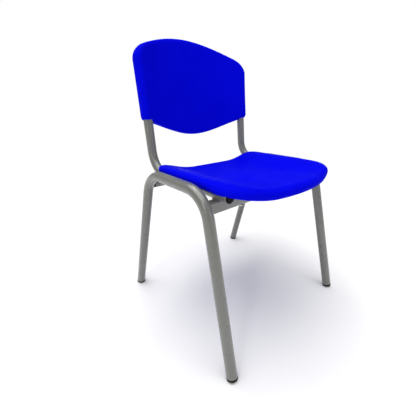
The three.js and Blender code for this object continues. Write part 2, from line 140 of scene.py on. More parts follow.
SADDLE_DEPTH = 7.0         # how far it reaches down from the top of the tube
SADDLE_FROM_BEAM = 50.0
SCREW_HEAD = (5.0, 3.4)    # radius and height
SHANK_RADIUS = 2.4
SHANK_TIP = 0.9
SHANK_LEAD = 2.0
BACK_SCREW_REACH = 12.0
BOSS_RADIUS = 6.5
CONTACT = 0.1              # between a head and what it presses on

leg_low, leg_high = box_mm("leg_frame_left")
beam_front = middle("front_cross_beam")
beam_rear = middle("rear_cross_beam")
BEAM_HIGH = box_mm("front_cross_beam")[1]
BEAM_HALF = BEAM_HIGH[0]
BEAM_TOP = BEAM_HIGH[2]
RAIL_X = leg_low[0] + LEG_RADIUS
RAIL_REAR_Z = leg_high[2] - LEG_RADIUS
RAIL_FRONT_Z = RAIL_REAR_Z - RAIL_STEP
RAIL_FRONT_Y = beam_front[1] - FRONT_BEAM_INSIDE
RAIL_REAR_Y = beam_rear[1] + REAR_BEAM_INSIDE

plug_middle = middle("upright_plug_left")
upright_low, upright_high = box_mm("back_upright_left")
UPRIGHT_X = plug_middle[0]
UPRIGHT_Z = plug_middle[2]
UPRIGHT_FRONT_Y = upright_low[1]
rise = upright_high[2] - UPRIGHT_Z - UPRIGHT_RADIUS * math.sin(RECLINE)
UPRIGHT_LENGTH = rise / math.cos(RECLINE)
lean = UPRIGHT_LENGTH * math.sin(RECLINE) + UPRIGHT_RADIUS * math.cos(RECLINE)
UPRIGHT_CORNER_Y = upright_high[1] - lean

SEAT_LOW_BOX, SEAT_HIGH_BOX = box_mm("seat_shell")
SEAT_HALF = SEAT_HIGH_BOX[0]
SEAT_FRONT_Y = SEAT_LOW_BOX[1]
SEAT_REAR_Y = SEAT_HIGH_BOX[1]
SEAT_TOP_Z = SEAT_HIGH_BOX[2]
SEAT_HEM = SEAT_TOP_Z - SEAT_SKIRT
SEAT_BOTTOM_Z = SEAT_TOP_Z - SEAT_DISH
SEAT_LOW_Y = SEAT_REAR_Y - SEAT_LOW_FROM_REAR

BACK_HIGH_BOX = box_mm("back_shell")[1]
BACK_HALF = BACK_HIGH_BOX[0]
edge_behind = BACK_HOLLOW + BACK_RIM_ROLL[1]
top_rise = BACK_HIGH_BOX[2] - UPRIGHT_Z + edge_behind * math.sin(RECLINE)
BACK_TOP = top_rise / math.cos(RECLINE)

BACK_AXIS = np.array([0.0, math.sin(RECLINE), math.cos(RECLINE)])
BACK_FRONT = np.array([0.0, -math.cos(RECLINE), math.sin(RECLINE)])
HANDS = (("left", 1), ("right", -1))


# ---------- mesh helpers ----------
def unit(v):
    return v / np.linalg.norm(v)


def mix(a, b, t):
    return a + (b - a) * t


def smooth(t):
    t = np.clip(t, 0, 1)
    return t * t * (3 - 2 * t)


def finish_mesh(name, points, faces, material, slot, sharp=35):
    """An object from points in mm, with its normals outward, that rides on the chair."""
    mesh = bpy.data.meshes.new(name)
    mesh.from_pydata([tuple(p) for p in np.asarray(points) * MM], [], faces)
    made = bmesh.new()
    made.from_mesh(mesh)
    bmesh.ops.remove_doubles(made, verts=made.verts, dist=1e-7)
    bmesh.ops.recalc_face_normals(made, faces=made.faces)
    if made.calc_volume(signed=True) < 0:
        bmesh.ops.reverse_faces(made, faces=made.faces)
    made.to_mesh(mesh)
    made.free()
    mesh.shade_smooth()
    mesh.set_sharp_from_angle(angle=math.radians(sharp))
    piece = bpy.data.objects.new(name, mesh)
    bpy.context.scene.collection.objects.link(piece)
    mesh.materials.append(material)
    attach(piece, "root")
    return piece


def loft(rings, wrap=False, first=None, last=None):
    """Points and faces through closed rings, with a pole point at either end or joined end to end."""
    count = len(rings[0])
    points = [p for ring in rings for p in ring]
    faces = []
    pairs = [(k, k + 1) for k in range(len(rings) - 1)]
    if wrap:
        pairs.append((len(rings) - 1, 0))
    for low, high in pairs:
        for i in range(count):
            j = (i + 1) % count
            faces.append((low * count + i, low * count + j, high * count + j, high * count + i))
    for pole, ring in ((first, 0), (last, len(rings) - 1)):
        if pole is None:
            continue
        points.append(pole)
        for i in range(count):
            faces.append((len(points) - 1, ring * count + i, ring * count + (i + 1) % count))
    return points, faces


def joined(parts):
    points, faces = [], []
    for some, others in parts:
        start = len(points)
        points += list(some)
        faces += [tuple(start + i for i in f) for f in others]
    return points, faces


def bent_path(corners, radius, step_angle=3.0, spacing=14.0):
    """Straight stretches between corners, with each inner corner rounded to one bend radius."""
    points = [np.array(corners[0], float)]

    def straight_to(end):
        start = points[-1]
        count = max(1, int(np.linalg.norm(end - start) / spacing))
        for k in range(1, count + 1):
            points.append(mix(start, end, k / count))

    for i in range(1, len(corners) - 1):
        here = np.array(corners[i], float)
        back = unit(np.array(corners[i - 1]) - here)
        on = unit(np.array(corners[i + 1]) - here)
        half = math.acos(np.clip(back @ on, -1, 1)) / 2
        centre = here + unit(back + on) * radius / math.sin(half)
        start = here + back * radius / math.tan(half) - centre
        end = here + on * radius / math.tan(half) - centre
        turn = math.acos(np.clip(start @ end / radius ** 2, -1, 1))
        straight_to(centre + start)
        steps = max(2, round(math.degrees(turn) / step_angle))
        for k in range(1, steps + 1):
            near = math.sin(turn * (1 - k / steps)) / math.sin(turn)
            far = math.sin(turn * k / steps) / math.sin(turn)
            points.append(centre + start * near + end * far)
    straight_to(np.array(corners[-1], float))
    return points


def frames_along(points):
    """A steady pair of cross directions at each point of a path."""
    tangents = []
    for i in range(len(points)):
        before = points[max(0, i - 1)]
        after = points[min(len(points) - 1, i + 1)]
        tangents.append(unit(after - before))
    side = unit(np.cross(tangents[0], [0.31, 0.17, 0.93]))
    pairs = []
    for t in tangents:
        side = unit(side - t * (side @ t))
        pairs.append((side, np.cross(t, side)))
    return pairs


def ring_at(point, pair, radius, sides):
    turn = np.arange(sides) / sides * 2 * math.pi
    return point + radius * (np.outer(np.cos(turn), pair[0]) + np.outer(np.sin(turn), pair[1]))


def pipe(points, outer, inner, sides=48, edge=0.35):
    """A tube with a wall, its cut ends slightly eased."""
    pairs = frames_along(points)
    ends = [unit(points[1] - points[0]), unit(points[-2] - points[-1])]
    stations = [(points[0], pairs[0]), (points[0] + ends[0] * edge, pairs[0])]
    stations += list(zip(points[1:-1], pairs[1:-1]))
    stations += [(points[-1] + ends[1] * edge, pairs[-1]), (points[-1], pairs[-1])]
    last = len(stations) - 1
    rings = []
    for k, (p, pair) in enumerate(stations):
        rings.append(ring_at(p, pair, outer - (edge if k in (0, last) else 0), sides))
    for p, pair in reversed(stations):
        rings.append(ring_at(p, pair, inner, sides))
    return loft(rings, wrap=True)


def bead(points, radius, sides=12):
    """A weld bead: a thin run with ripples, drawn in at both ends."""
    pairs = frames_along(points)
    rings = []
    count = len(points)
    for k, (p, pair) in enumerate(zip(points, pairs)):
        t = k / (count - 1)
        taper = math.sqrt(max(0.0, 1 - (2 * t - 1) ** 8))
        ripple = 1 + 0.1 * math.sin(k * 1.9) + 0.05 * math.sin(k * 0.7 + 1)
        rings.append(ring_at(p, pair, max(0.25, radius * taper * ripple), sides))
    return loft(rings, first=points[0], last=points[-1])


def turned(profile, origin, axis, sides=48):
    """A turned piece from (radius, height) pairs that start and end on the axis."""
    axis = unit(np.array(axis, float))
    side = unit(np.cross(axis, [0.2, 0.9, 0.3]))
    pair = (side, np.cross(axis, side))
    rings = [ring_at(origin + axis * h, pair, r, sides) for r, h in profile[1:-1]]
    return loft(rings, first=origin + axis * profile[0][1], last=origin + axis * profile[-1][1])


def dome(radius, rim, height, steps=8):
    """Rounded end of a turned piece, from its rim to just off its middle, then the middle."""
    points = []
    for i in range(steps + 1):
        a = i / steps * math.pi / 2
        points.append((radius * math.cos(a), mix(rim, height, math.sin(a))))
    points[-1] = (0, height)
    return points


# ---------- materials ----------
def material(name, base, roughness, metallic=0.0, specular=0.5):
    made = bpy.data.materials.new(name)
    made.use_nodes = True
    shader = made.node_tree.nodes["Principled BSDF"]
    shader.inputs["Base Color"].default_value = (*base, 1)
    shader.inputs["Roughness"].default_value = roughness
    shader.inputs["Metallic"].default_value = metallic
    shader.inputs["Specular IOR Level"].default_value = specular
    return made, made.node_tree, shader


def noise(tree, scale, detail=2.0, rough=0.5, stretch=(1, 1, 1)):
    nodes, links = tree.nodes, tree.links
    where = nodes.new("ShaderNodeTexCoord")
    placed = nodes.new("ShaderNodeMapping")
    placed.inputs["Scale"].default_value = stretch
    cloud = nodes.new("ShaderNodeTexNoise")
    cloud.inputs["Scale"].default_value = scale
    cloud.inputs["Detail"].default_value = detail
    cloud.inputs["Roughness"].default_value = rough
    links.new(where.outputs["Object"], placed.inputs["Vector"])
    links.new(placed.outputs["Vector"], cloud.inputs["Vector"])
    return cloud.outputs["Fac"]


def ramp(tree, source, stops):
    node = tree.nodes.new("ShaderNodeValToRGB")
    points = node.color_ramp.elements
    while len(points) < len(stops):
        points.new(0.5)
    for point, (at, colour) in zip(points, stops):
        point.position = at
        point.color = (*colour, 1) if len(colour) == 3 else colour
    tree.links.new(source, node.inputs["Fac"])
    return node.outputs["Color"]


def span(tree, source, low, high, to_low, to_high):
    node = tree.nodes.new("ShaderNodeMapRange")
    node.inputs["From Min"].default_value = low
    node.inputs["From Max"].default_value = high
    node.inputs["To Min"].default_value = to_low
    node.inputs["To Max"].default_value = to_high
    tree.links.new(source, node.inputs["Value"])
    return node.outputs["Result"]


def maths(tree, kind, a, b):
    node = tree.nodes.new("ShaderNodeMath")
    node.operation = kind
    for socket, value in zip(node.inputs, (a, b)):
        if isinstance(value, (int, float)):
            socket.default_value = value
        else:
            tree.links.new(value, socket)
    return node.outputs["Value"]


def blend_colour(tree, share, a, b):
    node = tree.nodes.new("ShaderNodeMix")
    node.data_type = "RGBA"
    tree.links.new(share, node.inputs["Factor"])
    for key, value in (("A", a), ("B", b)):
        socket = [s for s in node.inputs if s.name == key and s.type == "RGBA"][0]
        if isinstance(value, tuple):
            socket.default_value = (*value, 1)
        else:
            tree.links.new(value, socket)
    return [s for s in node.outputs if s.type == "RGBA"][0]


def bump(tree, shader, source, distance, strength=1.0, under=None):
    node = tree.nodes.new("ShaderNodeBump")
    node.inputs["Distance"].default_value = distance
    node.inputs["Strength"].default_value = strength
    tree.links.new(source, node.inputs["Height"])
    if under is not None:
        tree.links.new(under, node.inputs["Normal"])
    tree.links.new(node.outputs["Normal"], shader.inputs["Normal"])
    return node.outputs["Normal"]


def height_above_floor(tree):
    where = tree.nodes.new("ShaderNodeTexCoord")
    split = tree.nodes.new("ShaderNodeSeparateXYZ")
    tree.links.new(where.outputs["Object"], split.inputs["Vector"])
    return split.outputs["Z"]


BLUE = (0.0016, 0.0026, 0.71)
BLUE_DEEP = (0.0012, 0.0019, 0.66)
GREY = (0.146, 0.150, 0.134)
GREY_DEEP = (0.130, 0.133, 0.119)
GREY_SCUFF = (0.16, 0.16, 0.15)
BLACK = (0.006, 0.006, 0.006)
BLACK_RUBBED = (0.016, 0.015, 0.014)
ZINC = (0.6, 0.61, 0.58)
ZINC_DULL = (0.5, 0.5, 0.45)
ZINC_BRIGHT = (0.68, 0.69, 0.67)


def blue_plastic():
    made, tree, shader = material("blue_plastic_look", BLUE, 0.5, specular=0.003)
    patches = noise(tree, 9, 3, 0.6)
    colour = ramp(tree, patches, ((0.3, BLUE_DEEP), (0.62, BLUE)))
    tree.links.new(colour, shader.inputs["Base Color"])
    rub = noise(tree, 24, 4, 0.65)
    grain = noise(tree, 900, 2, 0.5)
    rough = span(tree, rub, 0.3, 0.7, 0.38, 0.5)
    fine = span(tree, grain, 0.3, 0.7, -0.04, 0.04)
    tree.links.new(maths(tree, "ADD", rough, fine), shader.inputs["Roughness"])
    flow = noise(tree, 40, 2, 0.5)
    soft = bump(tree, shader, flow, 0.00012)
    bump(tree, shader, grain, 0.00006, under=soft)
    return made


def grey_paint():
    made, tree, shader = material("grey_paint_look", GREY, 0.3, specular=0.6)
    shader.inputs["Coat Weight"].default_value = 0.8
    shader.inputs["Coat Roughness"].default_value = 0.16
    patches = noise(tree, 14, 4, 0.6)
    colour = ramp(tree, patches, ((0.3, GREY_DEEP), (0.65, GREY)))
    scuffs = noise(tree, 60, 6, 0.7, (1, 1, 0.35))
    low = span(tree, height_above_floor(tree), 0.0, 0.16, 0.6, 0.0)
    mark = maths(tree, "MULTIPLY", span(tree, scuffs, 0.6, 0.7, 0, 1), low)
    colour = blend_colour(tree, mark, colour, GREY_SCUFF)
    tree.links.new(colour, shader.inputs["Base Color"])
    rub = noise(tree, 45, 4, 0.6)
    tree.links.new(span(tree, rub, 0.3, 0.7, 0.25, 0.36), shader.inputs["Roughness"])
    peel = noise(tree, 420, 2, 0.4)
    waves = noise(tree, 90, 1, 0.4)
    soft = bump(tree, shader, waves, 0.00008)
    bump(tree, shader, peel, 0.00005, under=soft)
    return made


def black_plastic():
    made, tree, shader = material("black_plastic_look", BLACK, 0.5, specular=0.06)
    rub = noise(tree, 160, 5, 0.7)
    low = span(tree, height_above_floor(tree), 0.0, 0.003, 1.0, 0.0)
    mark = maths(tree, "MULTIPLY", span(tree, rub, 0.45, 0.7, 0, 1), low)
    colour = blend_colour(tree, mark, BLACK, BLACK_RUBBED)
    tree.links.new(colour, shader.inputs["Base Color"])
    tree.links.new(span(tree, rub, 0.3, 0.7, 0.42, 0.62), shader.inputs["Roughness"])
    bump(tree, shader, noise(tree, 1500, 2, 0.5), 0.00004)
    return made


def zinc_steel():
    made, tree, shader = material("zinc_steel_look", ZINC, 0.3, 1.0)
    patches = noise(tree, 350, 3, 0.6)
    colour = ramp(tree, patches, ((0.35, ZINC_DULL), (0.65, ZINC_BRIGHT)))
    tree.links.new(colour, shader.inputs["Base Color"])
    brushed = noise(tree, 900, 3, 0.6, (1, 6, 1))
    tree.links.new(span(tree, brushed, 0.3, 0.7, 0.22, 0.42), shader.inputs["Roughness"])
    bump(tree, shader, brushed, 0.00003)
    return made


BLUE_LOOK = blue_plastic()
GREY_LOOK = grey_paint()
BLACK_LOOK = black_plastic()
ZINC_LOOK = zinc_steel()


# ---------- camera ----------
CAMERA_PLACE = Vector((-0.545, -0.4828, 0.6001))
CAMERA_AZIMUTH = math.radians(-41.08)
CAMERA_PITCH = math.radians(-22.12)
CAMERA_LENS = 20.42
SENSOR = 36.0

eye = bpy.data.cameras.new("camera")
eye.lens = CAMERA_LENS
eye.sensor_width = SENSOR
eye.clip_start = 0.01
camera = bpy.data.objects.new("camera", eye)
camera.location = CAMERA_PLACE
camera.rotation_euler = (math.pi / 2 + CAMERA_PITCH, 0, CAMERA_AZIMUTH)
bpy.context.scene.collection.objects.link(camera)
bpy.context.scene.camera = camera


# ---------- moulded shells ----------
def corner_excess(past_side, past_end, radius):
    a = past_side + radius
    b = past_end + radius
    return np.where((a > 0) & (b > 0), np.hypot(a, b), np.maximum(a, b)) - radius


def outline_spokes(centre, excess, count, corner_pull=18.0):
    """Directions from the centre to the outline, closer together where the outline turns."""
    dense = np.linspace(-math.pi / 2, 1.5 * math.pi, 6000, endpoint=False)
    ca, cb = np.cos(dense), np.sin(dense)
    near, far = np.zeros_like(dense), np.full_like(dense, 400.0)
    for _ in range(50):
        half = (near + far) / 2
        inside = excess(centre[0] + ca * half, centre[1] + cb * half) < 0
        near = np.where(inside, half, near)
        far = np.where(inside, far, half)
    edge = np.stack([ca * near, cb * near], 1)
    step = np.roll(edge, -1, 0) - edge
    heading = np.unwrap(np.arctan2(step[:, 1], step[:, 0]))
    turn = np.abs(np.diff(heading, append=heading[0] + 2 * math.pi))
    turn = np.convolve(np.tile(turn, 3), np.ones(61) / 61, "same")[len(turn):2 * len(turn)]
    weight = np.hypot(step[:, 0], step[:, 1]) + corner_pull * turn
    run = np.concatenate([[0], np.cumsum(weight)])
    at = np.interp(np.arange(count) / count * run[-1], run, np.arange(len(dense) + 1))
    turns = dense[0] + at * (dense[1] - dense[0])
    reach = np.interp(turns, dense, near, period=2 * math.pi)
    return np.cos(turns), np.sin(turns), reach


def moulded_shell(centre, excess, face, hem, roll, wall, tuck, place, count=288):
    """A dished shell over an outline: face, rolled edge, skirt to a rounded hem, the same inside."""
    ca, cb, reach = outline_spokes(centre, excess, count)
    edge_a, edge_b = centre[0] + ca * reach, centre[1] + cb * reach
    wide, high = roll(edge_a, edge_b)
    hem_h = hem(edge_a, edge_b)

    def at(inset):
        return centre[0] + ca * (reach - inset), centre[1] + cb * (reach - inset)

    def on_skin(inset, skin):
        a, b = at(inset)
        t = np.clip(1 - (inset - skin) / (wide - skin), 0, 1)
        fall = (high - skin) * (1 - np.sqrt(1 - t * t))
        return a, b, face(a, b) - skin - fall

    def skin_rings(skin, shares, steps):
        rings = [on_skin(reach - f * (reach - wide), skin) for f in shares]
        for k in range(steps + 1):
            angle = math.pi / 2 * (1 - k / steps)
            rings.append(on_skin(skin + (wide - skin) * (1 - math.cos(angle)), skin))
        return rings

    shares = (0.05, 0.12, 0.2, 0.28, 0.36, 0.44, 0.52, 0.6, 0.68, 0.75, 0.82, 0.88, 0.94)
    outer = skin_rings(0.0, shares, 12)
    inner = skin_rings(wall, shares[::2] + (0.94,), 7)
    ease = wall * 0.35
    top_h = outer[-1][2]
    skirt = []
    for k in range(1, 6):
        t = k / 6
        a, b = at(tuck * t)
        skirt.append((a, b, mix(top_h, hem_h + ease, t)))
    for angle in (0, 30, 60, 90):
        turn = math.radians(angle)
        a, b = at(tuck + ease * (1 - math.cos(turn)))
        skirt.append((a, b, hem_h + ease * (1 - math.sin(turn))))
    for angle in (90, 60, 30, 0):
        turn = math.radians(angle)
        a, b = at(tuck + wall - ease * (1 - math.cos(turn)))
        skirt.append((a, b, hem_h + ease * (1 - math.sin(turn))))
    rings = [place(*r) for r in outer + skirt + inner[::-1]]
    mid = face(*centre)
    first = place(np.array([centre[0]]), np.array([centre[1]]), np.array([mid]))[0]
    last = place(np.array([centre[0]]), np.array([centre[1]]), np.array([mid - wall]))[0]
    return loft(rings, first=first, last=last)


# ---------- seat ----------
def seat_face(x, y):
    rear = SEAT_REAR_RISE * ((y - SEAT_LOW_Y) / (SEAT_REAR_Y - SEAT_LOW_Y)) ** 2
    front = SEAT_FRONT_RISE * ((SEAT_LOW_Y - y) / (SEAT_LOW_Y - SEAT_FRONT_Y)) ** 2
    low = SEAT_BOTTOM_Z + np.where(y > SEAT_LOW_Y, rear, front)
    flat = SEAT_HALF * SEAT_FLAT_SHARE
    t = np.clip((np.abs(x) - flat) / (SEAT_HALF - SEAT_CREST_INSET - flat), 0, 1)
    return mix(low, SEAT_TOP_Z, np.sin(t * math.pi / 2) ** 3)


def seat_excess(x, y):
    past = np.abs(x) - SEAT_HALF
    front_edge = SEAT_FRONT_Y + SEAT_BOW * (x / SEAT_HALF) ** 2
    front = corner_excess(past, front_edge - y, SEAT_FRONT_CORNER)
    return np.maximum(front, corner_excess(past, y - SEAT_REAR_Y, SEAT_REAR_CORNER))


def along_seat_edge(y, side, lip, tail):
    """Between the side's own value and the values along the front and rear edges."""
    front = smooth((SEAT_LIP_START - y) / SEAT_LIP_LENGTH)
    rear = smooth((y - SEAT_TAIL_START) / SEAT_TAIL_LENGTH)
    return mix(mix(side, lip, front), tail, rear)


def seat_roll(x, y):
    kinds = zip(SEAT_SIDE_ROLL, SEAT_LIP_ROLL, SEAT_TAIL_ROLL)
    return [along_seat_edge(y, side, lip, tail) for side, lip, tail in kinds]


def away_from(x, span):
    return 1 - smooth((np.abs(x) - span[0]) / (span[1] - span[0]))


def seat_hem(x, y):
    lip = SEAT_LIP_DROP * away_from(x, SEAT_LIP_SPAN)
    tail = SEAT_TAIL_DROP * away_from(x, SEAT_TAIL_SPAN)
    return SEAT_HEM - along_seat_edge(y, 0.0, lip, tail)


def stack3(a, b, h):
    return np.stack([a + 0 * h, b + 0 * h, h], 1)


seat_middle = (0.0, (SEAT_FRONT_Y + SEAT_REAR_Y) / 2)
seat = finish_mesh("seat", *moulded_shell(
    seat_middle, seat_excess, seat_face, seat_hem, seat_roll, SEAT_WALL, SEAT_TUCK, stack3),
    BLUE_LOOK, "blue_plastic", sharp=60)
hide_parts("seat_shell")


# ---------- back ----------
def back_point(a, b, h):
    corner = np.array([0.0, UPRIGHT_CORNER_Y, UPRIGHT_Z])
    return corner + np.array([a, 0.0, 0.0]) + b * BACK_AXIS + h * BACK_FRONT


def back_points(a, b, h):
    corner = np.array([0.0, UPRIGHT_CORNER_Y, UPRIGHT_Z])
    across = np.outer(a, [1.0, 0.0, 0.0])
    return corner + across + np.outer(b + 0 * a, BACK_AXIS) + np.outer(h + 0 * a, BACK_FRONT)


def even_curve(t, shape):
    return shape[0] * t ** 2 + shape[1] * t ** 4


def back_excess(a, b):
    u, w = a / UPRIGHT_X, a / BACK_HALF
    top = BACK_TOP - BACK_CORNER_FALL * even_curve(u, BACK_TOP_SHAPE)
    bottom = BACK_BOTTOM + BACK_BOTTOM_RISE * even_curve(w, BACK_BOTTOM_SHAPE)
    past = np.abs(a) - BACK_HALF
    upper = corner_excess(past, b - top, BACK_TOP_CORNER)
    return np.maximum(upper, corner_excess(past, bottom - b, BACK_BOTTOM_CORNER))


def back_face(a, b):
    return BACK_WING_REACH * (a / BACK_HALF) ** 2 - BACK_HOLLOW


def back_hem(a, b):
    return -mix(BACK_RIM_MIDDLE, BACK_RIM_SIDE, (a / BACK_HALF) ** 2)


def back_roll(a, b):
    share = (np.abs(a) / BACK_HALF - BACK_ROLL_FROM) / (BACK_ROLL_TO - BACK_ROLL_FROM)
    return [mix(m, s, smooth(share)) for m, s in zip(BACK_RIM_ROLL, BACK_SIDE_ROLL)]


back_middle = (0.0, (BACK_TOP + BACK_BOTTOM) / 2)
back = finish_mesh("back", *moulded_shell(
    back_middle, back_excess, back_face, back_hem, back_roll, BACK_WALL, BACK_TUCK, back_points, 320),
    BLUE_LOOK, "blue_plastic", sharp=60)
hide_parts("back_shell")


# ---------- tubes ----------
def foot_axis(end, side):
    """Ball centre of a glide and the rail corner above it."""
    hand = "left" if side > 0 else "right"
    mount = [m for m in frame["record"]["mounts"] if m["name"] == f"foot_{end}_{hand}"][0]
    ball = np.array(mount["pos_m"]) / MM + np.array([0, 0, GLIDE_BALL - GLIDE_FLAT])
    y, z = (RAIL_FRONT_Y, RAIL_FRONT_Z) if end == "front" else (RAIL_REAR_Y, RAIL_REAR_Z)
    return ball, np.array([side * RAIL_X, y, z])


def rim_point(end, side):
    """Where the tube starts above the glide's flange."""
    ball, corner = foot_axis(end, side)
    axis = unit(corner - ball)
    below = math.sqrt(GLIDE_BALL ** 2 - GLIDE_RIM ** 2)
    return ball - axis * (below - GLIDE_FLANGE), axis


def leg_path(side):
    front, _ = rim_point("front", side)
    rear, _ = rim_point("rear", side)
    corners = [front, foot_axis("front", side)[1], foot_axis("rear", side)[1], rear]
    return bent_path(corners, LEG_BEND)


def upright_path(side):
    x = side * UPRIGHT_X
    corners = [(x, UPRIGHT_FRONT_Y, UPRIGHT_Z), (x, UPRIGHT_CORNER_Y, UPRIGHT_Z)]
    corners.append(back_point(x, UPRIGHT_LENGTH, 0))
    return bent_path(corners, UPRIGHT_BEND)


for hand, side in HANDS:
    tube = pipe(leg_path(side), LEG_RADIUS, LEG_RADIUS - LEG_WALL)
    leg = finish_mesh(f"leg_frame_tube_{hand}", *tube, GREY_LOOK, "grey_paint")
    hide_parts(f"leg_frame_{hand}")
    tube = pipe(upright_path(side), UPRIGHT_RADIUS, UPRIGHT_RADIUS - UPRIGHT_WALL)
    post = finish_mesh(f"back_tube_{hand}", *tube, GREY_LOOK, "grey_paint")
    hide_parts(f"back_upright_{hand}")


# ---------- cross beams ----------
def beam_outline(half_y, half_z, corner, steps=10):
    points = []
    for quarter, (sy, sz) in enumerate(((1, 1), (-1, 1), (-1, -1), (1, -1))):
        for k in range(steps + 1):
            a = (quarter + k / steps) * math.pi / 2
            points.append((sy * (half_y - corner) + corner * math.cos(a),
                           sz * (half_z - corner) + corner * math.sin(a)))
    return np.array(points)


def cross_beam(node):
    low, high = box_mm(node)
    half = (high - low) / 2
    mid = (high + low) / 2
    corner = min(half[1], half[2]) - BEAM_FLAT / 2
    rings = []
    for inset, turn in ((0, 1), (BEAM_WALL, -1)):
        flat = beam_outline(half[1] - inset, half[2] - inset, corner - inset)
        for k in range(9):
            x = turn * mix(-BEAM_HALF, BEAM_HALF, k / 8)
            across = mid[1:] + flat
            rings.append(np.column_stack([np.full(len(flat), x), across]))
    return loft(rings, wrap=True), beam_outline(half[1], half[2], corner) + mid[1:]


outlines = {}
for node, name in (("front_cross_beam", "front_beam"), ("rear_cross_beam", "rear_beam")):
    mesh, outlines[name] = cross_beam(node)
    beam = finish_mesh(name, *mesh, GREY_LOOK, "grey_paint")
    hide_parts(node)


# ---------- weld beads ----------
def to_path(point, path):
    """Distance from a point to a path."""
    best = 1e9
    for a, b in zip(path[:-1], path[1:]):
        run = b - a
        t = np.clip((point - a) @ run / (run @ run), 0, 1)
        best = min(best, float(np.linalg.norm(point - a - run * t)))
    return best


for name, outline in outlines.items():
    for hand, side in HANDS:
        path = leg_path(side)
        met = []
        for y, z in outline:
            low, high = BEAM_HALF - 40, BEAM_HALF
            reach = lambda x: to_path(np.array([side * x, y, z]), path) - LEG_RADIUS
            if reach(high) > 0:
                met.append(None)
                continue
            for _ in range(16):
                half = (low + high) / 2
                low, high = (half, high) if reach(half) > 0 else (low, half)
            met.append(np.array([side * (low - 0.4), y, z]))
        start = next((i for i in range(len(met)) if met[i - 1] is None and met[i] is not None), 0)
        run = [met[(start + i) % len(met)] for i in range(len(met))]
        run = run[:next((i for i, p in enumerate(run) if p is None), len(run))]
        run = [p for i, p in enumerate(run) if i == 0 or np.linalg.norm(p - run[i - 1]) > 0.3]
        if len(run) > 4:
            finish_mesh(f"weld_{name}_{hand}", *bead(run, BEAD), GREY_LOOK, "grey_paint", sharp=80)

for name, y in (("front", beam_front[1]), ("rear", beam_rear[1])):
    for hand, side in HANDS:
        parts = []
        for flank in (-1, 1):
            x = side * UPRIGHT_X + flank * TUBE_BEAD_ASIDE
            z = BEAM_TOP + TUBE_BEAD_ABOVE
            along = np.linspace(-TUBE_BEAD_HALF, TUBE_BEAD_HALF, 14)
            parts.append(bead([np.array([x, y + t, z]) for t in along], TUBE_BEAD))
        finish_mesh(f"weld_tube_{name}_{hand}", *joined(parts), GREY_LOOK, "grey_paint", sharp=80)


# ---------- glides and plugs ----------
for hand, side in HANDS:
    for end in ("front", "rear"):
        ball, corner = foot_axis(end, side)
        axis = unit(corner - ball)
        cap = math.asin(GLIDE_RIM / GLIDE_BALL)
        profile = [(0, -GLIDE_BALL)]
        for k in range(1, 13):
            a = cap * k / 12
            profile.append((GLIDE_BALL * math.sin(a), -GLIDE_BALL * math.cos(a)))
        top = profile[-1][1] + GLIDE_FLANGE
        profile += [(GLIDE_RIM, top - 0.3), (GLIDE_RIM - 0.3, top)]
        stem = LEG_RADIUS - LEG_WALL - STEM_GAP
        tip = top + GLIDE_STEM
        profile += [(stem, top), (stem, tip - 2), (stem - STEM_LEAD, tip), (0, tip)]
        points, faces = turned(profile, ball, axis)
        points = [np.array([p[0], p[1], max(p[2], 0.0)]) for p in points]
        glide = finish_mesh(f"glide_{end}_{hand}", points, faces, BLACK_LOOK, "black_plastic")
        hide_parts(f"foot_glide_{end}_{hand}")
    stem = UPRIGHT_RADIUS - UPRIGHT_WALL - STEM_GAP
    profile = [(0, -PLUG_STEM), (stem - STEM_LEAD, -PLUG_STEM), (stem, STEM_LEAD - PLUG_STEM)]
    profile += [(stem, 0), (UPRIGHT_RADIUS, 0)] + dome(UPRIGHT_RADIUS, PLUG_RIM, PLUG_DOME)
    origin = np.array([side * UPRIGHT_X, UPRIGHT_FRONT_Y, UPRIGHT_Z])
    plug = finish_mesh(f"tube_plug_{hand}", *turned(profile, origin, (0, -1, 0)),
                       BLACK_LOOK, "black_plastic")
    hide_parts(f"upright_plug_{hand}")


# ---------- sleeves, bosses and saddles ----------
SLEEVE_FOOT = BACK_BOTTOM + BACK_BOTTOM_RISE + 2.0
SLEEVE_BORE = UPRIGHT_RADIUS + GAP
SLEEVE_RADIUS = SLEEVE_BORE + SLEEVE_WALL
for hand, side in HANDS:
    length = UPRIGHT_LENGTH + GAP + SLEEVE_END - SLEEVE_FOOT
    profile = [(0, length), (SLEEVE_RADIUS - 2.5, length), (SLEEVE_RADIUS - 0.7, length - 0.7),
               (SLEEVE_RADIUS, length - 2.5), (SLEEVE_RADIUS, 0.6), (SLEEVE_RADIUS - 0.6, 0),
               (SLEEVE_BORE + 0.5, 0), (SLEEVE_BORE, 0.6), (SLEEVE_BORE, length - SLEEVE_END),
               (0, length - SLEEVE_END)]
    origin = back_point(side * UPRIGHT_X, SLEEVE_FOOT, 0)
    finish_mesh(f"back_sleeve_{hand}", *turned(profile, origin, BACK_AXIS), BLUE_LOOK, "blue_plastic")


def slab(outline, front_y, rear_y):
    """A flat plate from an outline in x and z."""
    rings = [[np.array([x, y, z]) for x, z in outline] for y in (front_y, rear_y)]
    points, faces = loft(rings)
    count = len(outline)
    return points, faces + [tuple(range(count)), tuple(range(count, 2 * count))]


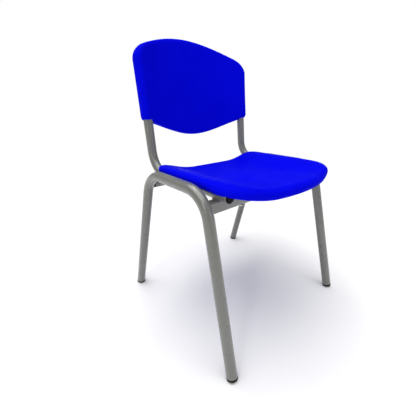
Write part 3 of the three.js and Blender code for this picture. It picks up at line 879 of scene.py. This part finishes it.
SADDLE_HALF = UPRIGHT_RADIUS + SADDLE_SIDE
SADDLE_LOW = UPRIGHT_Z + UPRIGHT_RADIUS - SADDLE_DEPTH
saddle_front = beam_front[1] + SADDLE_FROM_BEAM
saddle_rear = beam_rear[1] - SADDLE_FROM_BEAM
for end, y in (("front", saddle_front), ("rear", saddle_rear)):
    for hand, side in HANDS:
        top = float(seat_face(UPRIGHT_X - SADDLE_HALF, y)) - SEAT_WALL / 2
        reach = UPRIGHT_RADIUS + GAP
        half_turn = math.acos((SADDLE_LOW - UPRIGHT_Z) / reach)
        arc = [half_turn * (1 - k / 8) for k in range(17)]
        shape = [(-SADDLE_HALF, top), (SADDLE_HALF, top), (SADDLE_HALF, SADDLE_LOW)]
        shape += [(reach * math.sin(a), UPRIGHT_Z + reach * math.cos(a)) for a in arc]
        shape.append((-SADDLE_HALF, SADDLE_LOW))
        shape = [(side * UPRIGHT_X + dx, z) for dx, z in shape]
        block = slab(shape, y - SADDLE_THICK / 2, y + SADDLE_THICK / 2)
        finish_mesh(f"seat_saddle_{end}_{hand}", *block, BLUE_LOOK, "blue_plastic")


# ---------- fasteners ----------
def screw_head(radius, height, origin, axis, rings=16, sides=96):
    """A domed head with a cross recess, and its flat underside."""
    axis = unit(np.array(axis, float))
    side = unit(np.cross(axis, [0.2, 0.9, 0.3]))
    pair = (side, np.cross(axis, side))
    turn = np.arange(sides) / sides * 2 * math.pi
    made = []
    for k in range(1, rings + 1):
        share = k / rings
        r = radius * share
        h = mix(0.7, height, math.sqrt(max(0.0, 1 - share ** 2.4)))
        across = np.minimum(np.abs(r * np.cos(turn)), np.abs(r * np.sin(turn)))
        arm = smooth((0.16 * radius - across) / (0.07 * radius)) * smooth((0.62 - share) / 0.08)
        depth = arm * height * 0.5
        flat = r * (np.outer(np.cos(turn), pair[0]) + np.outer(np.sin(turn), pair[1]))
        made.append(origin + flat + np.outer(h - depth, axis))
    made.append(origin + radius * (np.outer(np.cos(turn), pair[0]) + np.outer(np.sin(turn), pair[1])))
    return loft(made, first=origin + axis * height * 0.5, last=np.array(origin, float))


def screw_shank(start, tip, origin, axis):
    profile = [(0, start), (SHANK_RADIUS, start), (SHANK_RADIUS, tip - SHANK_LEAD)]
    return turned(profile + [(SHANK_TIP, tip - 0.4), (0, tip)], origin, axis, 24)


for end in ("front", "rear"):
    for hand, side in HANDS:
        low, high = box_mm(f"seat_washer_{end}_{hand}")
        mid = (low + high) / 2
        wide = (high[0] - low[0]) / 2
        profile = [(0, low[2]), (wide - 0.2, low[2]), (wide, low[2] + 0.3), (wide, high[2] - 0.2),
                   (wide - 0.2, high[2]), (0, high[2])]
        origin = np.array([mid[0], mid[1], 0.0])
        washer = finish_mesh(f"washer_{end}_{hand}", *turned(profile, origin, (0, 0, 1)),
                             ZINC_LOOK, "zinc_steel")
        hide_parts(f"seat_washer_{end}_{hand}")
        head = screw_head(*SCREW_HEAD, np.array([mid[0], mid[1], low[2] - CONTACT]), (0, 0, -1))
        top = box_mm(f"seat_screw_{end}_{hand}")[1][2]
        shank = screw_shank(low[2] + 0.5, top, origin, (0, 0, 1))
        screw = finish_mesh(f"screw_{end}_{hand}", *joined([head, shank]),
                            ZINC_LOOK, "zinc_steel", sharp=50)
        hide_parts(f"seat_screw_{end}_{hand}")
        foot = BEAM_TOP + GAP
        root = float(seat_face(mid[0], mid[1])) - SEAT_WALL / 2
        boss = [(0, foot), (BOSS_RADIUS - 0.5, foot), (BOSS_RADIUS, foot + 0.5)]
        boss += [(BOSS_RADIUS, root), (0, root)]
        finish_mesh(f"seat_boss_{end}_{hand}", *turned(boss, origin, (0, 0, 1)),
                    BLUE_LOOK, "blue_plastic")

for hand, side in HANDS:
    mid = middle(f"back_screw_{hand}")
    along = float((mid - np.array([0, UPRIGHT_CORNER_Y, UPRIGHT_Z])) @ BACK_AXIS)
    place = back_point(side * UPRIGHT_X, along, -SLEEVE_RADIUS - CONTACT)
    head = screw_head(*SCREW_HEAD, place, -BACK_FRONT)
    shank = screw_shank(-0.5, BACK_SCREW_REACH, place, BACK_FRONT)
    screw = finish_mesh(f"back_fixing_{hand}", *joined([head, shank]),
                        ZINC_LOOK, "zinc_steel", sharp=50)
    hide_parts(f"back_screw_{hand}")


# ---------- floor and light ----------
FLOOR_HALF = 30.0
PALE = (0.9, 0.9, 0.9)
floor_mesh = bpy.data.meshes.new("floor")
corners = [(-1, -1), (1, -1), (1, 1), (-1, 1)]
floor_mesh.from_pydata([(x * FLOOR_HALF, y * FLOOR_HALF, 0) for x, y in corners], [], [(0, 1, 2, 3)])
floor = bpy.data.objects.new("floor", floor_mesh)
bpy.context.scene.collection.objects.link(floor)
pale, pale_tree, pale_shader = material("floor_look", PALE, 0.9, specular=0.0)
tones = ((0.3, (0.89, 0.89, 0.89)), (0.7, (0.91, 0.91, 0.91)))
tint = ramp(pale_tree, noise(pale_tree, 3, 3, 0.5), tones)
pale_tree.links.new(tint, pale_shader.inputs["Base Color"])
floor_mesh.materials.append(pale)

ROOM_LIGHT = 0.28
ROOM_MIRRORED = 0.45
ROOM_SEEN = 1.0
world = bpy.data.worlds.new("studio")
world.use_nodes = True
world_nodes, world_links = world.node_tree.nodes, world.node_tree.links
path_kind = world_nodes.new("ShaderNodeLightPath")


def room(strength):
    node = world_nodes.new("ShaderNodeBackground")
    node.inputs["Color"].default_value = (1, 1, 1, 1)
    node.inputs["Strength"].default_value = strength
    return node.outputs["Background"]


def chosen(kind, otherwise, when):
    node = world_nodes.new("ShaderNodeMixShader")
    world_links.new(path_kind.outputs[kind], node.inputs["Fac"])
    world_links.new(otherwise, node.inputs[1])
    world_links.new(when, node.inputs[2])
    return node.outputs["Shader"]


mirrored = chosen("Is Glossy Ray", room(ROOM_LIGHT), room(ROOM_MIRRORED))
seen = chosen("Is Camera Ray", mirrored, room(ROOM_SEEN))
world_links.new(seen, world_nodes["World Output"].inputs["Surface"])
bpy.context.scene.world = world

SUN_STRENGTH = 2.7
SUN_SPREAD = math.radians(70)
SUN_HEADING = Vector((0.12, -0.08, -1))
overhead = bpy.data.lights.new("overhead", "SUN")
overhead.energy = SUN_STRENGTH
overhead.angle = SUN_SPREAD
canopy = bpy.data.objects.new("overhead", overhead)
canopy.rotation_euler = SUN_HEADING.to_track_quat("-Z", "Y").to_euler()
bpy.context.scene.collection.objects.link(canopy)


def softbox(name, place, aim, size, power):
    light = bpy.data.lights.new(name, "AREA")
    light.shape = "RECTANGLE"
    light.size, light.size_y = size
    light.energy = power
    lamp = bpy.data.objects.new(name, light)
    lamp.location = place
    look = Vector(aim) - Vector(place)
    lamp.rotation_euler = look.to_track_quat("-Z", "Y").to_euler()
    bpy.context.scene.collection.objects.link(lamp)


SEAT_AIM = (0, 0, 0.45)
softbox("left_light", (-2.0, -0.9, 1.5), SEAT_AIM, (0.12, 1.7), 7)
softbox("front_light", (0.6, -2.4, 1.2), SEAT_AIM, (0.2, 1.5), 4)
softbox("top_light", (-0.3, 0.5, 2.4), SEAT_AIM, (1.2, 0.14), 4)

view = bpy.context.scene.view_settings
view.view_transform = "Standard"
view.look = "None"
view.exposure = 0.0
view.gamma = 1.0
